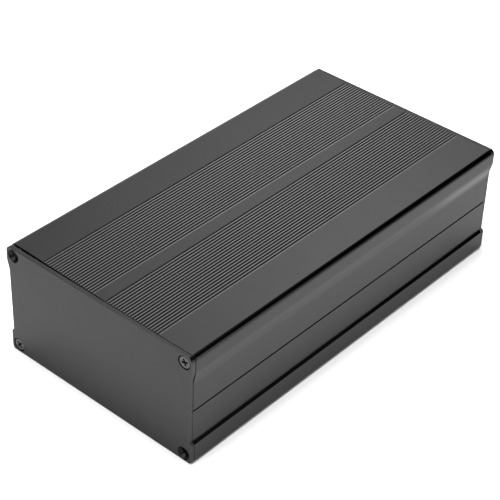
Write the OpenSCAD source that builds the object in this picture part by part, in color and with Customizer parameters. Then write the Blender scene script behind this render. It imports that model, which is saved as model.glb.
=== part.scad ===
// Split aluminium enclosure: two extruded half shells that interlock along the sides,
// closed at both ends by flat panels on countersunk screws.
// X runs across the case, Y along it (front panel at -Y) and Z up from the base.

/* [Case] */
// Width over the bands along the sides
case_w = 105; // [90:1:150]
// Height from the base to the top
case_h = 55; // [50:1:80]
// Length over both end panels
case_l = 200; // [80:1:300]
// Height of the lower shell, up to the seam
lower_h = 27; // [24:0.5:31]
// How far the upper shell falls short of the front panel at its left corner
end_gap = 0.8; // [0.2:0.1:1.5]
// Width of that end of the upper shell, from the right, that meets the panel
end_square_w = 47.5; // [20:0.5:85]

/* [Walls] */
// Thickness of the top wall between the grooves
top_wall = 2.2; // [1.6:0.1:3.2]
// Thickness of the base wall
base_wall = 2; // [1.4:0.1:3]
// Thickness of the side walls between the bands
side_wall = 1.5; // [1.2:0.1:2.4]
// Radius of the long edges of the top
top_edge_r = 2.4; // [1:0.1:3.5]
// Radius of the long edges of the base
base_edge_r = 1.5; // [0.6:0.1:2.5]

/* [Side bands] */
// How far the bands stand proud of the side walls
band_step = 1.2; // [0.6:0.1:1.8]
// Height of the band under the top
top_band_h = 9.7; // [6:0.1:12]
// Height of the slope under the top band
top_slope_h = 2.6; // [0.5:0.1:4]
// Height of the band along the base
base_band_h = 9.8; // [6:0.1:12]
// Height of the slope above the base band
base_slope_h = 1.2; // [0.5:0.1:3]

/* [Top grooves] */
// Spacing of the grooves
groove_pitch = 1.5; // [1.2:0.1:2]
// Number of grooves in each of the two bands
groove_count = 20; // [6:1:24]
// Depth of a groove
groove_depth = 0.15; // [0.1:0.05:0.7]
// Width of the land left between two grooves
land_w = 0.2; // [0.1:0.05:0.6]
// Width of a groove's floor
groove_floor_w = 0.2; // [0.1:0.05:0.5]
// Width of the plain strip between the two bands
centre_strip_w = 6.4; // [2:0.2:12]

/* [Seam] */
// How far the rails along the seam thicken the side walls
rail_in = 1.6; // [1.2:0.1:3]
// Height of a rail
rail_h = 3.6; // [3:0.1:6]
// Width of the tongue under the upper shell
tongue_w = 1; // [0.8:0.1:1.4]
// Height of the tongue
tongue_h = 2; // [1:0.1:2.6]
// Clearance on each side of the tongue
tongue_fit = 0.1; // [0.05:0.05:0.2]
// Clearance under the tip of the tongue
tongue_tip_fit = 0.2; // [0.1:0.05:0.4]
// Chamfer on the tip of the tongue
tongue_chamfer = 0.25; // [0.1:0.05:0.35]
// Height of the open gap along the outside of the seam
seam_gap = 0.6; // [0.2:0.05:0.8]

/* [Board guides] */
// Thickness of the circuit board that the guides take
board_t = 1.6; // [1:0.1:2]
// Clearance of a board in its slot
board_fit = 0.2; // [0.1:0.05:0.5]
// Thickness of the ribs beside a slot
rib_t = 1.2; // [0.8:0.1:2]
// Depth of the slots
slot_depth = 2.2; // [1.5:0.1:4]
// Distance of the first slot from the base, and from the top in the upper shell
slot_first = 10.4; // [9:0.1:12]
// Spacing of the slots
slot_pitch = 6.8; // [5:0.1:9]

/* [End panels] */
// Thickness of an end panel
panel_t = 2; // [1.2:0.1:3]
// How far a panel's edges stay inside the outline of the shells
panel_inset = 0.1; // [0.05:0.05:0.3]
// Height of the slope under the top band of a panel
panel_slope_h = 5; // [1:0.1:7]

/* [Screws] */
// Distance of the screws from the sides
screw_side = 4.25; // [4:0.05:6]
// Distance of the screws from the top and from the base
screw_edge = 3.75; // [3.6:0.05:6]
// Diameter over the thread
screw_d = 3; // [2.5:0.1:3.4]
// Diameter of the shank that fills the channel
shank_d = 2.6; // [2:0.1:2.8]
// Diameter of the screw heads
head_d = 5.5; // [4.8:0.1:5.8]
// Height of the straight rim of a head
head_rim = 0.15; // [0.1:0.05:0.3]
// Chamfer on the rim of a head
head_chamfer = 0.1; // [0.05:0.05:0.15]
// Length of a screw
screw_l = 8; // [5:0.5:16]
// Chamfer on the tip of a screw
tip_chamfer = 0.6; // [0.2:0.1:0.9]
// Clearance of the shank in its channel
shank_fit = 0.05; // [0.02:0.01:0.1]
// Clearance of the thread in the panel's hole
hole_fit = 0.15; // [0.1:0.05:0.3]
// Diameter of the countersinks at the face of a panel
countersink_d = 6.4; // [5.6:0.1:7]
// Clearance of a head on its countersink, along the screw
seat_fit = 0.04; // [0.02:0.01:0.1]
// Wall of the channel around a screw
channel_wall = 1.8; // [1.2:0.1:2]
// Width of the slot along a channel
channel_slot = 1.6; // [0.8:0.1:2]
// Width across the cross recess at the face of a head
cross_w = 3.4; // [2:0.1:4]
// Width across the cross recess at its bottom
cross_bottom_w = 1; // [0.6:0.1:1.6]
// Thickness of the wings of the cross recess
cross_wing = 0.9; // [0.4:0.05:1]
// Depth of the cross recess
cross_depth = 1.2; // [0.6:0.1:1.4]

/* [Hidden] */
$fn = 64;

shell_finish = "#3d3e40";
panel_finish = "#444547";
screw_finish = "#26272a";

// Overlap of cuts and joins past the faces they start from
over = 1;

half_w = case_w / 2;
wall_x = half_w - band_step;
inner_x = wall_x - side_wall;
shell_l = case_l - 2 * panel_t;
slot_w = board_t + board_fit;

// The tongue runs along the middle of the thickened wall
rail_x = inner_x - rail_in;
tongue_x = (wall_x + rail_x) / 2;

shank_r = shank_d / 2;
channel_r = shank_r + shank_fit;
boss_r = channel_r + channel_wall;
hole_r = screw_d / 2 + hole_fit;

// A countersink ends above the back of the panel, so a thin panel gets a narrower one
countersink_r = min(countersink_d / 2, screw_d / 2 + panel_t);
head_r = head_d / 2;
head_sunk = countersink_r - head_r - head_rim - seat_fit;
cone_h = head_r - screw_d / 2;

// Corners are [side, level]: side -1 or 1 in X, level 0 at the base or 1 at the top
corners = [[-1, 0], [1, 0], [-1, 1], [1, 1]];

// Two screws hold the front panel, one in each shell, and the other two holes are empty
front_corners = [[-1, 0], [1, 1]];

// How far each screw is turned, so that the crosses don't line up
cross_turns = [42, 70, 15, 38];

function screw_z(level) = level == 1 ? case_h - screw_edge : screw_edge;
function screw_place(corner) = [corner[0] * (half_w - screw_side), screw_z(corner[1])];

// Slots that fit in a shell of height h between its first slot and its rail
function slot_count(h) =
    1 + max(0, floor((h - slot_first - slot_w / 2 - rib_t - rail_h - rail_in) / slot_pitch));

// Points of the right side, reflected and in reverse order
function mirrored(points) = [for (i = [len(points) - 1:-1:0]) [-points[i][0], points[i][1]]];

module both_sides() {
    children();
    mirror([1, 0]) children();
}

// Draws a section in X and Z along the case
module along(start, length) {
    translate([0, start + length, 0]) rotate([90, 0, 0]) linear_extrude(length) children();
}

// Cuts the corner of a section at [x, z] to radius r, up being 1 at the top and -1 at the base
module round_corner(x, z, r, up) {
    translate([x - r, z - up * r]) turned(up) difference() {
        square(r + over);
        circle(r);
    }
}

// Turns a section upside down where up is -1
module turned(up) {
    if (up == 1) children();
    else mirror([0, 1]) children();
}

// Outline with a band along the top and the base of each side
module banded_outline(inset, slope_top, slope_bottom, top_r, base_r) {
    band_x = half_w - inset;
    recess_x = wall_x - inset;
    top = case_h - inset;
    right_side = [
        [band_x, inset],
        [band_x, base_band_h],
        [recess_x, base_band_h + base_slope_h],
        [recess_x, slope_bottom],
        [band_x, slope_top],
        [band_x, top]
    ];
    difference() {
        polygon(concat(right_side, mirrored(right_side)));
        both_sides() {
            round_corner(band_x, top, top_r, 1);
            round_corner(band_x, inset, base_r, -1);
        }
    }
}

// One groove, its middle at x on the top
module groove(x) {
    mouth = groove_pitch - land_w;
    // The flanks run on a little above the top
    rise = groove_depth / 10;
    flare = rise * (mouth - groove_floor_w) / 2 / groove_depth;
    translate([x, case_h]) polygon([
        [-groove_floor_w / 2, -groove_depth],
        [groove_floor_w / 2, -groove_depth],
        [mouth / 2 + flare, rise],
        [-mouth / 2 - flare, rise]
    ]);
}

module case_section() {
    slope_top = case_h - top_band_h;
    difference() {
        banded_outline(0, slope_top, slope_top - top_slope_h, top_edge_r, base_edge_r);
        both_sides() for (i = [0:groove_count - 1])
            groove(centre_strip_w / 2 + (i + 0.5) * groove_pitch);
    }
}

// Ribs beside a board slot, the middle of the slot at z
module board_guide(z) {
    for (edge = [-1, 1])
        translate([inner_x - slot_depth, z + edge * (slot_w + rib_t) / 2 - rib_t / 2])
            square([slot_depth + side_wall, rib_t]);
}

// Thickening of the side wall beside the seam, up being 1 in the lower shell
module seam_rail(up) {
    translate([0, lower_h]) turned(up) polygon([
        [rail_x, over],
        [rail_x, -rail_h],
        [inner_x, -rail_h - rail_in],
        [wall_x, -rail_h - rail_in],
        [wall_x, over]
    ]);
}

module screw_boss(level) {
    translate(screw_place([1, level])) circle(boss_r);
}

// Bore for a screw, open along its length to the inside of the case
module screw_channel(level) {
    translate(screw_place([1, level])) {
        circle(channel_r);
        rotate(level == 1 ? 225 : 135) translate([0, -channel_slot / 2])
            square([boss_r + over, channel_slot]);
    }
}

// Gap outside the tongue, cut from the edge of the lower shell
module seam_gap_cut() {
    translate([tongue_x, lower_h - seam_gap]) square([case_w, seam_gap + over]);
}

// All that lies above the seam, with the tongues that reach below it
module above_seam() {
    inner = tongue_x - tongue_w / 2;
    outer = tongue_x + tongue_w / 2;
    tip_z = lower_h - tongue_h;
    tongue = [
        [inner, lower_h],
        [inner, tip_z + tongue_chamfer],
        [inner + tongue_chamfer, tip_z],
        [outer - tongue_chamfer, tip_z],
        [outer, tip_z + tongue_chamfer],
        [outer, lower_h]
    ];
    right_side = concat(tongue, [[case_w, lower_h], [case_w, case_h + over]]);
    polygon(concat(right_side, mirrored(right_side)));
}

module below_seam() {
    translate([-case_w, -over]) square([2 * case_w, lower_h + over]);
}

module tongue_groove() {
    w = tongue_w + 2 * tongue_fit;
    depth = tongue_h + tongue_tip_fit;
    translate([tongue_x - w / 2, lower_h - depth]) square([w, depth + over]);
}

// Space inside the upper shell, less what stands in it
module upper_space() {
    difference() {
        translate([-inner_x, lower_h - over])
            square([2 * inner_x, case_h - top_wall - lower_h + over]);
        both_sides() {
            seam_rail(-1);
            screw_boss(1);
            for (i = [0:slot_count(case_h - lower_h) - 1])
                board_guide(case_h - slot_first - i * slot_pitch);
        }
    }
}

module lower_space() {
    difference() {
        translate([-inner_x, base_wall])
            square([2 * inner_x, lower_h - base_wall + over]);
        both_sides() {
            seam_rail(1);
            screw_boss(0);
            for (i = [0:slot_count(lower_h) - 1])
                board_guide(slot_first + i * slot_pitch);
        }
    }
}

module upper_section() {
    difference() {
        intersection() {
            case_section();
            above_seam();
        }
        upper_space();
        both_sides() screw_channel(1);
    }
}

module lower_section() {
    difference() {
        intersection() {
            case_section();
            below_seam();
        }
        lower_space();
        both_sides() {
            tongue_groove();
            screw_channel(0);
            seam_gap_cut();
        }
    }
}

// The upper shell's front end is sawn out of square from the middle to the left
module sawn_wedge() {
    tip_x = half_w - end_square_w;
    end = -shell_l / 2;
    slant = end_gap / (tip_x + half_w);
    far_x = -case_w;
    linear_extrude(case_h + over) polygon([
        [tip_x, end],
        [far_x, end + slant * (tip_x - far_x)],
        [far_x, end - over],
        [tip_x, end - over]
    ]);
}

module upper_shell() {
    color(shell_finish) difference() {
        along(-shell_l / 2, shell_l) upper_section();
        sawn_wedge();
    }
}

module lower_shell() {
    color(shell_finish) along(-shell_l / 2, shell_l) lower_section();
}

// Stands a shape made along +Z in a corner of the front end, its zero on the panel's face
module at_corner(corner) {
    place = screw_place(corner);
    translate([place[0], -case_l / 2, place[1]]) rotate([-90, 0, 0]) children();
}

module countersunk_hole() {
    translate([0, 0, -over])
        cylinder(r1 = countersink_r + over, r2 = hole_r, h = over + countersink_r - hole_r);
    cylinder(r = hole_r, h = panel_t + over);
}

module end_panel() {
    slope_bottom = case_h - top_band_h - top_slope_h;
    color(panel_finish) difference() {
        along(-case_l / 2, panel_t)
            banded_outline(panel_inset, slope_bottom + panel_slope_h, slope_bottom,
                           top_edge_r - panel_inset, base_edge_r - panel_inset);
        for (corner = corners) at_corner(corner) countersunk_hole();
    }
}

module front_panel() {
    end_panel();
}

module rear_panel() {
    mirror([0, 1, 0]) end_panel();
}

module cross_recess() {
    for (turn = [0, 90]) rotate(turn) rotate([90, 0, 0])
        linear_extrude(cross_wing, center = true) polygon([
            [-cross_w / 2, 0],
            [-cross_w / 2, -over],
            [cross_w / 2, -over],
            [cross_w / 2, 0],
            [cross_bottom_w / 2, cross_depth],
            [-cross_bottom_w / 2, cross_depth]
        ]);
}

// Countersunk screw along +Z, with the face of its head at zero
module countersunk_screw(turn) {
    cone_end = head_rim + cone_h;
    color(screw_finish) difference() {
        rotate_extrude() polygon([
            [0, 0],
            [head_r - head_chamfer, 0],
            [head_r, head_chamfer],
            [head_r, head_rim],
            [screw_d / 2, cone_end],
            [shank_r, cone_end],
            [shank_r, screw_l - tip_chamfer],
            [shank_r - tip_chamfer, screw_l],
            [0, screw_l]
        ]);
        rotate(turn) cross_recess();
    }
}

module panel_screws(fitted) {
    for (i = [0:len(fitted) - 1])
        at_corner(fitted[i]) translate([0, 0, head_sunk]) countersunk_screw(cross_turns[i]);
}

module front_screws() {
    panel_screws(front_corners);
}

module rear_screws() {
    mirror([0, 1, 0]) panel_screws(corners);
}

upper_shell();
lower_shell();
front_panel();
rear_panel();
front_screws();
rear_screws();
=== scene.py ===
import math
import bmesh
import bpy
from mathutils import Matrix, Vector


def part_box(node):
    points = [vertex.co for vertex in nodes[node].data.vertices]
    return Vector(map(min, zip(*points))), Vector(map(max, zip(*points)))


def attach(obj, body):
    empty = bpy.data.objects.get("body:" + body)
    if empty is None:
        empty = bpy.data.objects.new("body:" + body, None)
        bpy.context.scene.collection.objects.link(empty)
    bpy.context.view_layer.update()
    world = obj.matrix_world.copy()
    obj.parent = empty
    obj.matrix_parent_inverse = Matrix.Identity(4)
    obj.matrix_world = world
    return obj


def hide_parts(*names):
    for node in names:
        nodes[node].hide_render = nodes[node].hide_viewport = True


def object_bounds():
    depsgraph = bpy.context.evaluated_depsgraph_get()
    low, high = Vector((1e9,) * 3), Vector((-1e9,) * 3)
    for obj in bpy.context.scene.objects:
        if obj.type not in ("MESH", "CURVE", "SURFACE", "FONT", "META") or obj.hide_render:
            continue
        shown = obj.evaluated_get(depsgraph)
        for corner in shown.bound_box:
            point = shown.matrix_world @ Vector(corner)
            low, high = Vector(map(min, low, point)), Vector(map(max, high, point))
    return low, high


# Black anodised split enclosure: two extruded shells, two end panels and their screws.
# Everything is in metres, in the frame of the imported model: +X right, +Y to the rear, +Z up.

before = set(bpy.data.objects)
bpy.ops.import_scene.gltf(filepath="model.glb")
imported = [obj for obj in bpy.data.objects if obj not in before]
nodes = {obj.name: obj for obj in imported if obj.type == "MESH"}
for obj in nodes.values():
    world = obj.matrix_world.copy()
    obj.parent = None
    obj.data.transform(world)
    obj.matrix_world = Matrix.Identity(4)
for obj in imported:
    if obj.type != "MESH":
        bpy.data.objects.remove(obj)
cadLow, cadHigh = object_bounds()
mm = 0.001
tiny = 0.001 * mm           # points closer than this are the same point
front, rear = -1, 1         # the end of the case that a panel or a screw faces

caseMiddle = (cadLow + cadHigh) / 2
print("frame loaded:", ", ".join(sorted(nodes)))


# camera

photoView = {
    "azimuth": 40.214,      # degrees from the front towards the right side
    "elevation": 36.925,    # degrees above the floor
    "roll": 2.195,          # degrees
    "distance": 715.48 * mm,
    "slideRight": -4.46 * mm,
    "slideUp": -1.71 * mm,
    "focal": 1621.7,        # in pixels of the square picture
    "picture": 500,         # pixels
    "sensor": 36,           # mm
    "nearest": 0.01,
    "farthest": 100,
}


def placeCamera(spec):
    azimuth = math.radians(spec["azimuth"])
    elevation = math.radians(spec["elevation"])
    roll = math.radians(spec["roll"])
    back = Vector((
        math.sin(azimuth) * math.cos(elevation),
        -math.cos(azimuth) * math.cos(elevation),
        math.sin(elevation),
    ))
    right = Vector((0, 0, 1)).cross(back).normalized()
    up = back.cross(right)
    imageRight = right * math.cos(roll) + up * math.sin(roll)
    imageUp = up * math.cos(roll) - right * math.sin(roll)
    place = caseMiddle + back * spec["distance"]
    place += imageRight * spec["slideRight"] + imageUp * spec["slideUp"]
    data = bpy.data.cameras.new("photoCamera")
    data.sensor_width = spec["sensor"]
    data.lens = spec["focal"] * spec["sensor"] / spec["picture"]
    data.clip_start = spec["nearest"]
    data.clip_end = spec["farthest"]
    camera = bpy.data.objects.new("photoCamera", data)
    turn = Matrix((imageRight, imageUp, back)).transposed()
    camera.matrix_world = Matrix.Translation(place) @ turn.to_4x4()
    bpy.context.scene.collection.objects.link(camera)
    bpy.context.scene.camera = camera


placeCamera(photoView)
print("camera placed")


# shader node groups

# The groups take their sizes in mm, and Blender's coordinates are in metres
mmPerMetre = 1000.0


def newGroup(name, inputs, outputs):
    group = bpy.data.node_groups.new(name, "ShaderNodeTree")
    for label in inputs:
        group.interface.new_socket(name=label, in_out="INPUT", socket_type="NodeSocketFloat")
    for label in outputs:
        group.interface.new_socket(name=label, in_out="OUTPUT", socket_type="NodeSocketFloat")
    entry = group.nodes.new("NodeGroupInput")
    leave = group.nodes.new("NodeGroupOutput")
    return group, entry, leave


def mathNode(tree, operation, first, second):
    node = tree.nodes.new("ShaderNodeMath")
    node.operation = operation
    for place, value in enumerate((first, second)):
        if isinstance(value, (int, float)):
            node.inputs[place].default_value = value
        else:
            tree.links.new(value, node.inputs[place])
    return node.outputs[0]


def mapRange(tree, value, low, high):
    node = tree.nodes.new("ShaderNodeMapRange")
    node.inputs["From Min"].default_value = low
    node.inputs["From Max"].default_value = high
    tree.links.new(value, node.inputs["Value"])
    return node.outputs["Result"]


# Noise at a place, with the settings named as its sockets are
def noiseNode(tree, place, settings):
    node = tree.nodes.new("ShaderNodeTexNoise")
    for label, value in settings.items():
        node.inputs[label].default_value = value
    tree.links.new(place, node.inputs["Vector"])
    return node


# Noise on the piece itself, with grains of the size that a socket of the group gives
def sizedNoise(tree, size, settings):
    place = tree.nodes.new("ShaderNodeTexCoord")
    node = noiseNode(tree, place.outputs["Object"], settings)
    tree.links.new(mathNode(tree, "DIVIDE", mmPerMetre, size), node.inputs["Scale"])
    return node.outputs["Fac"]


# Die lines: long faint streaks that the die leaves along an extrusion
dieNoise = {"Scale": 1.0, "Detail": 3.0}


def makeDieLines():
    group, entry, leave = newGroup("dieLines", ["Spacing", "Length"], ["Lines"])
    place = group.nodes.new("ShaderNodeTexCoord")
    across = mathNode(group, "DIVIDE", mmPerMetre, entry.outputs["Spacing"])
    alongY = mathNode(group, "DIVIDE", mmPerMetre, entry.outputs["Length"])
    scale = group.nodes.new("ShaderNodeCombineXYZ")
    group.links.new(across, scale.inputs["X"])
    group.links.new(alongY, scale.inputs["Y"])
    group.links.new(across, scale.inputs["Z"])
    stretch = group.nodes.new("ShaderNodeVectorMath")
    stretch.operation = "MULTIPLY"
    group.links.new(place.outputs["Object"], stretch.inputs[0])
    group.links.new(scale.outputs["Vector"], stretch.inputs[1])
    noise = noiseNode(group, stretch.outputs["Vector"], dieNoise)
    group.links.new(noise.outputs["Fac"], leave.inputs["Lines"])
    return group


# Etched grain: the fine matt tooth of an etched and anodised surface, and its broad mottle
toothNoise = {"Detail": 2.0}
mottleNoise = {"Scale": 60.0, "Detail": 4.0, "Roughness": 0.55}


def makeEtchedGrain():
    group, entry, leave = newGroup("etchedGrain", ["Grain"], ["Tooth", "Mottle"])
    place = group.nodes.new("ShaderNodeTexCoord")
    tooth = sizedNoise(group, entry.outputs["Grain"], toothNoise)
    mottle = noiseNode(group, place.outputs["Object"], mottleNoise)
    group.links.new(tooth, leave.inputs["Tooth"])
    group.links.new(mottle.outputs["Fac"], leave.inputs["Mottle"])
    return group


# Handling: broad soft patches where hands and cloths have been
smudgeNoise = {"Detail": 3.0, "Distortion": 0.6}
smudgeLevels = {"clean": 0.42, "smudged": 0.72}


def makeHandling():
    group, entry, leave = newGroup("handling", ["Patch"], ["Smudge"])
    noise = sizedNoise(group, entry.outputs["Patch"], smudgeNoise)
    soft = mapRange(group, noise, smudgeLevels["clean"], smudgeLevels["smudged"])
    group.links.new(soft, leave.inputs["Smudge"])
    return group


# Edge wear: small chips along sharp edges, down to the bare metal
chipNoise = {"Detail": 2.0}
wearLevels = {
    "bevelSamples": 4,
    "flat": 0.99,           # match of the true and the rounded normal, away from edges
    "edge": 0.9,            # and on them
    "whole": 0.66,          # noise at which a chip starts
    "chipped": 0.74,        # and at which the metal is bare
}


def makeEdgeWear():
    group, entry, leave = newGroup("edgeWear", ["Reach", "Chip"], ["Wear"])
    bevel = group.nodes.new("ShaderNodeBevel")
    bevel.samples = wearLevels["bevelSamples"]
    reach = mathNode(group, "DIVIDE", entry.outputs["Reach"], mmPerMetre)
    group.links.new(reach, bevel.inputs["Radius"])
    surface = group.nodes.new("ShaderNodeNewGeometry")
    match = group.nodes.new("ShaderNodeVectorMath")
    match.operation = "DOT_PRODUCT"
    group.links.new(bevel.outputs["Normal"], match.inputs[0])
    group.links.new(surface.outputs["Normal"], match.inputs[1])
    edge = mapRange(group, match.outputs["Value"], wearLevels["flat"], wearLevels["edge"])
    noise = sizedNoise(group, entry.outputs["Chip"], chipNoise)
    chips = mapRange(group, noise, wearLevels["whole"], wearLevels["chipped"])
    group.links.new(mathNode(group, "MULTIPLY", edge, chips), leave.inputs["Wear"])
    return group


dieLines = makeDieLines()
etchedGrain = makeEtchedGrain()
handling = makeHandling()
edgeWear = makeEdgeWear()
print("node groups made")


# materials

# The dyed oxide mirrors a little, like a dark metal, and shows hardly any colour of its own
shellFinish = {
    "colour": (0.033, 0.033, 0.0335, 1),
    "colourLight": (0.039, 0.039, 0.0395, 1),
    "edgeTint": (0.78, 0.78, 0.78, 1),
    "roughness": 0.2,
    "roughnessSpread": 0.04,
    "smudge": 18.0,         # mm
    "smudgeRoughness": 0.02,
    "lineSpacing": 0.3,     # mm
    "lineLength": 120.0,    # mm
    "lineHeight": 0.0006 * mm,
    "grain": 0.12,          # mm
    "grainHeight": 0.0006 * mm,
}
panelFinish = {
    "colour": (0.033, 0.033, 0.0335, 1),
    "colourLight": (0.039, 0.039, 0.0395, 1),
    "edgeTint": (0.78, 0.78, 0.78, 1),
    "roughness": 0.29,
    "roughnessSpread": 0.02,
    "smudge": 14.0,
    "smudgeRoughness": 0.02,
    "lineSpacing": 0.5,
    "lineLength": 0.5,
    "lineHeight": 0.0002 * mm,
    "grain": 0.12,
    "grainHeight": 0.0006 * mm,
    "wearReach": 0.2,       # mm
    "wearChip": 0.7,        # mm
    "bareMetal": (0.45, 0.45, 0.46, 1),
}
screwFinish = {
    "colour": (0.06, 0.06, 0.061, 1),
    "colourLight": (0.075, 0.075, 0.076, 1),
    "edgeTint": (0.8, 0.8, 0.8, 1),
    "roughness": 0.25,
    "roughnessSpread": 0.08,
    "smudge": 3.0,
    "smudgeRoughness": 0.04,
    "lineSpacing": 0.2,
    "lineLength": 0.2,
    "lineHeight": 0.0004 * mm,
    "grain": 0.1,
    "grainHeight": 0.0006 * mm,
    "wearReach": 0.08,
    "wearChip": 0.4,
    "bareMetal": (0.4, 0.4, 0.41, 1),
}
# Painted shade: near black on the open seam, the bores, the countersinks with a screw in them, and all
# of a screw but its face
paintedShadeColours = {
    "colour": (0.005, 0.005, 0.005, 1),
    "colourLight": (0.008, 0.008, 0.008, 1),
    "edgeTint": (0.3, 0.3, 0.3, 1),
    "roughness": 0.4,
}
# Outer edges of the panels, lighter: light wear together with a painted edge highlight
edgeHighlightAndWearColours = {
    "colour": (0.036, 0.036, 0.0365, 1),
    "colourLight": (0.06, 0.06, 0.061, 1),
}
# Countersinks that hold no screw, darker than the panel: painted shade
emptyShadeColours = {
    "colour": (0.011, 0.011, 0.011, 1),
    "colourLight": (0.018, 0.018, 0.018, 1),
}


def placeGroup(tree, group, values):
    node = tree.nodes.new("ShaderNodeGroup")
    node.node_tree = group
    for label, value in values.items():
        node.inputs[label].default_value = value
    return node


def mixColour(tree, factor, first, second):
    node = tree.nodes.new("ShaderNodeMix")
    node.data_type = "RGBA"
    tree.links.new(factor, node.inputs["Factor"])
    for label, value in (("A", first), ("B", second)):
        if isinstance(value, tuple):
            node.inputs[label].default_value = value
        else:
            tree.links.new(value, node.inputs[label])
    return node.outputs["Result"]


def bump(tree, height, distance, under=None):
    node = tree.nodes.new("ShaderNodeBump")
    node.inputs["Distance"].default_value = distance
    tree.links.new(height, node.inputs["Height"])
    if under:
        tree.links.new(under, node.inputs["Normal"])
    return node.outputs["Normal"]


def anodised(name, spec):
    material = bpy.data.materials.new(name)
    material.use_nodes = True
    tree = material.node_tree
    shader = tree.nodes["Principled BSDF"]
    shader.inputs["Metallic"].default_value = 1.0
    shader.inputs["Specular Tint"].default_value = spec["edgeTint"]
    lines = placeGroup(tree, dieLines, {"Spacing": spec["lineSpacing"], "Length": spec["lineLength"]})
    grain = placeGroup(tree, etchedGrain, {"Grain": spec["grain"]})
    hands = placeGroup(tree, handling, {"Patch": spec["smudge"]})
    finish = mixColour(tree, grain.outputs["Mottle"], spec["colour"], spec["colourLight"])
    if "wearReach" in spec:
        wear = placeGroup(tree, edgeWear, {"Reach": spec["wearReach"], "Chip": spec["wearChip"]})
        finish = mixColour(tree, wear.outputs["Wear"], finish, spec["bareMetal"])
    tree.links.new(finish, shader.inputs["Base Color"])
    mottled = mathNode(tree, "MULTIPLY", grain.outputs["Mottle"], spec["roughnessSpread"])
    handled = mathNode(tree, "MULTIPLY", hands.outputs["Smudge"], spec["smudgeRoughness"])
    smooth = spec["roughness"] - (spec["roughnessSpread"] + spec["smudgeRoughness"]) / 2
    rough = mathNode(tree, "ADD", mathNode(tree, "ADD", mottled, handled), smooth)
    tree.links.new(rough, shader.inputs["Roughness"])
    drawn = bump(tree, lines.outputs["Lines"], spec["lineHeight"])
    etched = bump(tree, grain.outputs["Tooth"], spec["grainHeight"], drawn)
    tree.links.new(etched, shader.inputs["Normal"])
    return material


shellMaterial = anodised("blackAnodisedShell", shellFinish)
panelMaterial = anodised("blackAnodisedPanel", panelFinish)
screwMaterial = anodised("blackScrew", screwFinish)
# Next come a lighter panel edge that carries a painted edge highlight with light wear, and darker
# materials that paint shade into countersinks, screw recesses and the open seam
edgeHighlightAndWearMaterial = anodised("panelEdgeHighlightAndWear", panelFinish | edgeHighlightAndWearColours)
countersinkShadeMaterial = anodised("countersinkPaintedShade", panelFinish | paintedShadeColours)
emptyShadeMaterial = anodised("emptyCountersinkPaintedShade", panelFinish | emptyShadeColours)
recessShadeMaterial = anodised("screwRecessPaintedShade", screwFinish | paintedShadeColours)
seamShadeMaterial = anodised("seamPaintedShade", shellFinish | paintedShadeColours)
print("materials made")


# pieces

def addPiece(name, bm, materials, node):
    mesh = bpy.data.meshes.new(name)
    bm.to_mesh(mesh)
    bm.free()
    mesh.shade_smooth()
    for material in materials:
        mesh.materials.append(material)
    piece = bpy.data.objects.new(name, mesh)
    bpy.context.scene.collection.objects.link(piece)
    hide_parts(node)
    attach(piece, "root")
    return piece


# Large faces set the normals along their edges, so that they look flat
largeFaceWeight = 100


def flatten(piece, sharpAngle):
    piece.data.set_sharp_from_angle(angle=math.radians(sharpAngle))
    weighted = piece.modifiers.new("faceNormals", "WEIGHTED_NORMAL")
    weighted.keep_sharp = True
    weighted.weight = largeFaceWeight


# shells

shellForm = {
    "straightAngle": 0.5,       # degrees, below which a point is in line with its neighbours
    "dieRadius": 0.2 * mm,      # on the corners of the section
    "dieSteps": 4,
    "cornerShare": 0.45,        # of the shorter side, at most, that a corner takes
    "cornerAngle": 18,          # degrees, above the facets of the arcs
    "gentleAngle": 30,          # degrees, above the slope under the top band
    "slopeReach": 2.6 * mm,     # how far this slope runs out on each straight
    "slopeSteps": 16,
    "seamRadius": 0.35 * mm,    # on the outer corners of the seam
    "seamDepth": 2.0 * mm,      # from the case's side to past those corners
    "seamAngle": 60,            # degrees
    # The open seam is painted near black as shade over this band of heights round the lower shell's top
    "seamShadeBelow": 0.35 * mm,     # the seam is black from here below the lower shell's top
    "seamShadeAbove": 0.95 * mm,     # to here above it
    "breakShare": 0.3,          # of a broken edge, the inset of its middle
    "sharpAngle": 10,           # degrees, less than the flanks of the grooves turn
}
upperEnds = {
    "break": 0.2 * mm,          # on the edges of the sawn ends
    "gap": 0.15 * mm,           # hairline behind the front panel
}
lowerEnds = {
    "break": 0.06 * mm,
    "gap": 0,
}
plainSlot, seamShadeSlot = range(2)


def turns(points):
    before = points[-1:] + points[:-1]
    after = points[1:] + points[:1]
    return [(q - p).angle_signed(r - q) for p, q, r in zip(before, points, after)]


# Points [x, z] round the rear end of a shell, anticlockwise, without those in line
def endLoop(node):
    bm = bmesh.new()
    bm.from_mesh(nodes[node].data)
    bmesh.ops.remove_doubles(bm, verts=bm.verts, dist=tiny)
    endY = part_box(node)[1].y
    cap = {face for face in bm.faces if all(abs(v.co.y - endY) < tiny for v in face.verts)}
    rim = [edge for edge in bm.edges if len(cap.intersection(edge.link_faces)) == 1]
    nextVerts = {}
    for edge in rim:
        for vert in edge.verts:
            nextVerts.setdefault(vert, []).append(edge.other_vert(vert))
    start = min(nextVerts, key=lambda v: (v.co.x, v.co.z))
    walk = [start, nextVerts[start][0]]
    while walk[-1] is not start:
        here, before = walk[-1], walk[-2]
        walk.append(next(v for v in nextVerts[here] if v is not before))
    points = [Vector((v.co.x, v.co.z)) for v in walk[:-1]]
    bm.free()
    area = sum(p.cross(q) for p, q in zip(points, points[1:] + points[:1]))
    if area < 0:
        points.reverse()
    straight = math.radians(shellForm["straightAngle"])
    return [p for p, turn in zip(points, turns(points)) if abs(turn) > straight]


def shares(steps):
    return [step / steps for step in range(steps + 1)]


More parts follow.
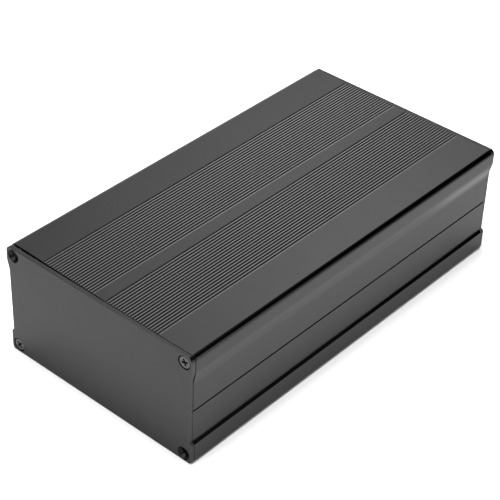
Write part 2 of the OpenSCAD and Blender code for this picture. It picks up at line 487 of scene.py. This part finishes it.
# A corner at q, rounded into a curve from the side that comes from p to the side that goes to r
def softCorner(p, q, r, radius, spec):
    reach = min((p - q).length, (r - q).length) * spec["cornerShare"]
    cut = min(radius * math.tan((q - p).angle(r - q) / 2), reach)
    first = q + (p - q).normalized() * cut
    last = q + (r - q).normalized() * cut
    return [first * (1 - t) ** 2 + q * 2 * t * (1 - t) + last * t * t for t in shares(spec["dieSteps"])]


# From the straight that ends at q, over the slope from q to r, to the straight that starts at r
def softSlope(p, q, r, spec):
    along = (q - p).normalized()
    first = q - along * spec["slopeReach"]
    last = r + along * spec["slopeReach"]
    run = along * (last - first).dot(along)
    step = last - first - run
    return [first + run * t + step * (3 - 2 * t) * t * t for t in shares(spec["slopeSteps"])]


def roundedLoop(points, spec):
    bends = [math.degrees(turn) for turn in turns(points)]
    gentle = [spec["cornerAngle"] < abs(bend) < spec["gentleAngle"] for bend in bends]
    seamX = cadHigh.x - spec["seamDepth"]
    loop = []
    for i, q in enumerate(points):
        p = points[i - 1]
        r = points[(i + 1) % len(points)]
        if abs(bends[i]) < spec["cornerAngle"]:
            loop.append(q)
        elif gentle[i] and gentle[(i + 1) % len(points)]:
            loop += softSlope(p, q, r, spec)
        elif not (gentle[i] and gentle[i - 1]):
            atSeam = abs(q.x) > seamX and bends[i] > spec["seamAngle"]
            loop += softCorner(p, q, r, spec["seamRadius"] if atSeam else spec["dieRadius"], spec)
    return loop


# Line [x, y, slope] of the part of the front end that is sawn out of square, or none
def slantedEnd(node):
    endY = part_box(node)[0].y
    points = [v.co for v in nodes[node].data.vertices if endY + tiny < v.co.y < caseMiddle.y]
    if not points:
        return None
    left = min(points, key=lambda p: p.x)
    right = max(points, key=lambda p: p.x)
    return left.x, left.y, (right.y - left.y) / (right.x - left.x)


def sweptShell(name, node, ends):
    low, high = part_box(node)
    slanted = slantedEnd(node)
    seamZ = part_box("lower_shell")[1].z

    def frontY(x):
        if not slanted:
            return low.y + ends["gap"]
        leftX, leftY, slope = slanted
        return max(low.y, leftY + slope * (x - leftX)) + ends["gap"]

    loop = roundedLoop(endLoop(node), shellForm)
    before = loop[-1:] + loop[:-1]
    after = loop[1:] + loop[:1]
    inward = [Vector((p.y - r.y, r.x - p.x)).normalized() for p, r in zip(before, after)]
    cut = ends["break"]
    middle = shellForm["breakShare"] * cut
    brokenEdge = [(0, cut), (middle, middle), (cut, 0)]
    bm = bmesh.new()
    rings = []
    for y, inset in brokenEdge:
        ring = [p + n * inset for p, n in zip(loop, inward)]
        rings.append([bm.verts.new((p.x, frontY(p.x) + y, p.y)) for p in ring])
    for y, inset in reversed(brokenEdge):
        ring = [p + n * inset for p, n in zip(loop, inward)]
        rings.append([bm.verts.new((p.x, high.y - y, p.y)) for p in ring])
    for near, far in zip(rings, rings[1:]):
        for i in range(len(near)):
            face = bm.faces.new((near[i], near[i - 1], far[i - 1], far[i]))
            # Faces in the open seam take the near-black painted-shade material
            height = (loop[i].y + loop[i - 1].y) / 2 - seamZ
            inSeam = -shellForm["seamShadeBelow"] < height < shellForm["seamShadeAbove"]
            face.material_index = seamShadeSlot if inSeam else plainSlot
    bm.faces.new(rings[0])
    bm.faces.new(list(reversed(rings[-1])))
    bmesh.ops.recalc_face_normals(bm, faces=bm.faces)
    piece = addPiece(name, bm, [shellMaterial, seamShadeMaterial], node)
    flatten(piece, shellForm["sharpAngle"])
    print(f"{name}: section of {len(loop)} points")


sweptShell("upperShell", "upper_shell", upperEnds)
sweptShell("lowerShell", "lower_shell", lowerEnds)


# panels and screws

breakForm = {
    "flatAngle": 0.2,           # degrees, below which faces are joined
    "edgeAngle": 30,            # degrees, above which an edge is broken
    "roundProfile": 0.5,
}
keepMaterial = -1


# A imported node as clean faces, its flat triangles joined
def cleanCopy(node):
    bm = bmesh.new()
    bm.from_mesh(nodes[node].data)
    bmesh.ops.remove_doubles(bm, verts=bm.verts, dist=tiny)
    flat = math.radians(breakForm["flatAngle"])
    bmesh.ops.dissolve_limit(bm, angle_limit=flat, verts=bm.verts, edges=bm.edges)
    return bm


def breakEdges(bm, width, steps, chosen, material=keepMaterial):
    sharp = math.radians(breakForm["edgeAngle"])
    edges = [edge for edge in bm.edges if edge.calc_face_angle(0) > sharp and chosen(edge)]
    bmesh.ops.bevel(bm, geom=edges, offset=width, offset_type="OFFSET", segments=steps,
                    profile=breakForm["roundProfile"], affect="EDGES", clamp_overlap=True,
                    material=material)


# Axes [x, z] of screws, one for each loose part of their node
def screwAxes(node):
    bm = bmesh.new()
    bm.from_mesh(nodes[node].data)
    bmesh.ops.remove_doubles(bm, verts=bm.verts, dist=tiny)
    left = set(bm.verts)
    axes = []
    while left:
        reached = [left.pop()]
        for vert in reached:
            joined = {edge.other_vert(vert) for edge in vert.link_edges} & left
            left -= joined
            reached += joined
        xs = [vert.co.x for vert in reached]
        zs = [vert.co.z for vert in reached]
        axes.append(Vector(((min(xs) + max(xs)) / 2, (min(zs) + max(zs)) / 2)))
    bm.free()
    return axes


# From the nearest of the axes to a point, across the case
def fromAxis(point, axes):
    return min((Vector((point.x, point.z)) - axis).length for axis in axes)


def middleOf(edge):
    return (edge.verts[0].co + edge.verts[1].co) / 2


panelForm = {
    "faceBreak": 0.2 * mm,      # on the outline, at the outer face
    "backBreak": 0.15 * mm,     # on the outline, at the back
    "holeBreak": 0.12 * mm,     # on the countersunk holes
    "holeReach": 3.5 * mm,      # from a screw's axis to past its countersink
    "steps": 3,
    "holeSteps": 2,
    "faceNormal": 0.9,          # more than this along the case is on a face
    "boreNormal": 0.1,          # less than this along the case is in a bore
    "sharpAngle": 60,           # degrees
}
# Slots past the first: the lighter outer edge with its painted highlight, painted shade in bores and
# filled countersinks, and painted shade in empty countersinks
panelMaterials = [panelMaterial, edgeHighlightAndWearMaterial, countersinkShadeMaterial, emptyShadeMaterial]
rimHighlightSlot, holeShadeSlot, emptyShadeSlot = range(1, len(panelMaterials))


# The four rear screws show where the holes of both panels are
def brokenPanel(name, node, screwNode, side):
    low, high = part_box(node)
    faceY, backY = (low.y, high.y) if side == front else (high.y, low.y)
    holes = screwAxes("rear_screws")
    filled = screwAxes(screwNode)
    reach = panelForm["holeReach"]
    bm = cleanCopy(node)

    def holeEdge(edge):
        return fromAxis(middleOf(edge), holes) < reach

    def onRim(edge, y):
        return not holeEdge(edge) and all(abs(vert.co.y - y) < tiny for vert in edge.verts)

    steps = panelForm["steps"]
    breakEdges(bm, panelForm["holeBreak"], panelForm["holeSteps"], holeEdge)
    # The break on the outer face's outline takes the lighter edge colour: light wear with a painted
    # edge highlight
    breakEdges(bm, panelForm["faceBreak"], steps, lambda edge: onRim(edge, faceY), rimHighlightSlot)
    breakEdges(bm, panelForm["backBreak"], steps, lambda edge: onRim(edge, backY))
    # Faces in the holes get painted shade: near black in the bores and where a screw sits, dark in the
    # empty countersinks
    for face in bm.faces:
        middle = face.calc_center_median()
        tilt = abs(face.normal.y)
        if fromAxis(middle, holes) < reach and tilt < panelForm["faceNormal"]:
            black = fromAxis(middle, filled) < reach or tilt < panelForm["boreNormal"]
            face.material_index = holeShadeSlot if black else emptyShadeSlot
    piece = addPiece(name, bm, panelMaterials, node)
    flatten(piece, panelForm["sharpAngle"])
    print(f"{name}: {len(piece.data.polygons)} faces")


brokenPanel("frontPanel", "front_panel", "front_screws", front)
brokenPanel("rearPanel", "rear_panel", "rear_screws", rear)


screwForm = {
    "edgeBreak": 0.03 * mm,
    "rimBreak": 0.08 * mm,      # on the rim of the head's face
    "crossBreak": 0.16 * mm,    # on the edges of the cross, at the head's face
    "crossReach": 1.8 * mm,     # from a screw's axis to past its cross
    "steps": 2,
    # The cross and everything deeper than the head's face are painted near black as shade
    "faceDepth": 0.01 * mm,     # what lies deeper is black
    "sharpAngle": 50,           # degrees
}
headSlot, recessShadeSlot = range(2)


def brokenScrews(name, node, side):
    low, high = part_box(node)
    faceY = low.y if side == front else high.y
    axes = screwAxes(node)
    bm = cleanCopy(node)

    def atFace(edge):
        return all(abs(vert.co.y - faceY) < tiny for vert in edge.verts)

    def nearCross(edge):
        return fromAxis(middleOf(edge), axes) < screwForm["crossReach"]

    steps = screwForm["steps"]
    breakEdges(bm, screwForm["crossBreak"], steps, lambda edge: nearCross(edge) and atFace(edge))
    breakEdges(bm, screwForm["rimBreak"], steps, lambda edge: not nearCross(edge) and atFace(edge))
    breakEdges(bm, screwForm["edgeBreak"], steps, lambda edge: not nearCross(edge) and not atFace(edge))
    # Faces deeper than the head's face take the near-black painted-shade material
    for face in bm.faces:
        depth = abs(face.calc_center_median().y - faceY)
        face.material_index = recessShadeSlot if depth > screwForm["faceDepth"] else headSlot
    piece = addPiece(name, bm, [screwMaterial, recessShadeMaterial], node)
    flatten(piece, screwForm["sharpAngle"])
    print(f"{name}: {len(axes)} screws, {len(piece.data.polygons)} faces")


brokenScrews("frontScrews", "front_screws", front)
brokenScrews("rearScrews", "rear_screws", rear)


# studio

studio = {
    "floorSize": 30.0,
    "floorColour": (0.92, 0.92, 0.92, 1),
    "floorRoughness": 0.9,
    "floorSpecular": 0.1,
    "floorDrop": 0.02 * mm,     # below the base, so that the two don't flicker
    "light": (1, 1, 1, 1),
    "backdrop": 0.8,            # brightness that shows past the floor, in low views
}

# Soft glows of the studio's walls and ceiling. Azimuth runs from the rear towards the right,
# in degrees, and a sharper glow is smaller.
glows = [
    {"azimuth": -33, "elevation": 38, "sharpness": 80, "strength": 3.5},
    {"azimuth": -49, "elevation": 41, "sharpness": 60, "strength": 1.1},
    {"azimuth": -42, "elevation": 5, "sharpness": 40, "strength": 1.8},
    {"azimuth": -52, "elevation": 14, "sharpness": 40, "strength": 3.8},
    {"azimuth": 64, "elevation": 10, "sharpness": 60, "strength": 4.0},
    {"azimuth": -172, "elevation": 35, "sharpness": 10, "strength": 4.7},
    {"azimuth": 0, "elevation": 90, "sharpness": 12, "strength": 1.4},
]
softboxes = {
    "overhead": {"azimuth": 0, "elevation": 90, "distance": 0.57, "size": 0.3, "strength": 17.2,
                 "mirrored": False},
    "leftOfTop": {"azimuth": -90, "elevation": 71, "distance": 0.6, "size": 0.3, "strength": 6.0,
                  "mirrored": True},
    "besideCamera": {"azimuth": 140, "elevation": 42, "distance": 1.0, "size": 0.1, "strength": 40.0,
                     "mirrored": True},
}


def towards(spec):
    azimuth = math.radians(spec["azimuth"])
    elevation = math.radians(spec["elevation"])
    return Vector((
        math.sin(azimuth) * math.cos(elevation),
        math.cos(azimuth) * math.cos(elevation),
        math.sin(elevation),
    ))


def makeFloor():
    bm = bmesh.new()
    bmesh.ops.create_grid(bm, x_segments=1, y_segments=1, size=studio["floorSize"] / 2)
    mesh = bpy.data.meshes.new("studioFloor")
    bm.to_mesh(mesh)
    bm.free()
    material = bpy.data.materials.new("paleFloor")
    material.use_nodes = True
    shader = material.node_tree.nodes["Principled BSDF"]
    shader.inputs["Base Color"].default_value = studio["floorColour"]
    shader.inputs["Roughness"].default_value = studio["floorRoughness"]
    shader.inputs["Specular IOR Level"].default_value = studio["floorSpecular"]
    mesh.materials.append(material)
    floor = bpy.data.objects.new("studioFloor", mesh)
    floor.location.z = cadLow.z - studio["floorDrop"]
    bpy.context.scene.collection.objects.link(floor)


def makeWorld():
    world = bpy.data.worlds.new("studioWorld")
    bpy.context.scene.world = world
    world.use_nodes = True
    tree = world.node_tree
    place = tree.nodes.new("ShaderNodeTexCoord")
    total = 0.0
    for glow in glows:
        match = tree.nodes.new("ShaderNodeVectorMath")
        match.operation = "DOT_PRODUCT"
        match.inputs[1].default_value = towards(glow)
        tree.links.new(place.outputs["Generated"], match.inputs[0])
        facing = mathNode(tree, "MAXIMUM", match.outputs["Value"], 0.0)
        fall = mathNode(tree, "POWER", facing, glow["sharpness"])
        part = mathNode(tree, "MULTIPLY", fall, glow["strength"])
        total = mathNode(tree, "ADD", part, total)
    path = tree.nodes.new("ShaderNodeLightPath")
    backdrop = mathNode(tree, "MULTIPLY", path.outputs["Is Camera Ray"], studio["backdrop"])
    shown = mathNode(tree, "MAXIMUM", total, backdrop)
    background = tree.nodes["Background"]
    tree.links.new(shown, background.inputs["Strength"])
    background.inputs["Color"].default_value = studio["light"]


def addSoftbox(name, spec):
    away = towards(spec)
    data = bpy.data.lights.new(name, "AREA")
    data.shape = "SQUARE"
    data.size = spec["size"]
    data.energy = math.pi * spec["size"] ** 2 * spec["strength"]
    light = bpy.data.objects.new(name, data)
    light.location = caseMiddle + away * spec["distance"]
    light.rotation_euler = away.to_track_quat("Z", "Y").to_euler()
    light.visible_camera = False
    light.visible_glossy = spec["mirrored"]
    bpy.context.scene.collection.objects.link(light)


makeFloor()
makeWorld()
for name, spec in softboxes.items():
    addSoftbox(name, spec)
view = bpy.context.scene.view_settings
view.view_transform = "Standard"
view.look = "None"
print("studio lit")
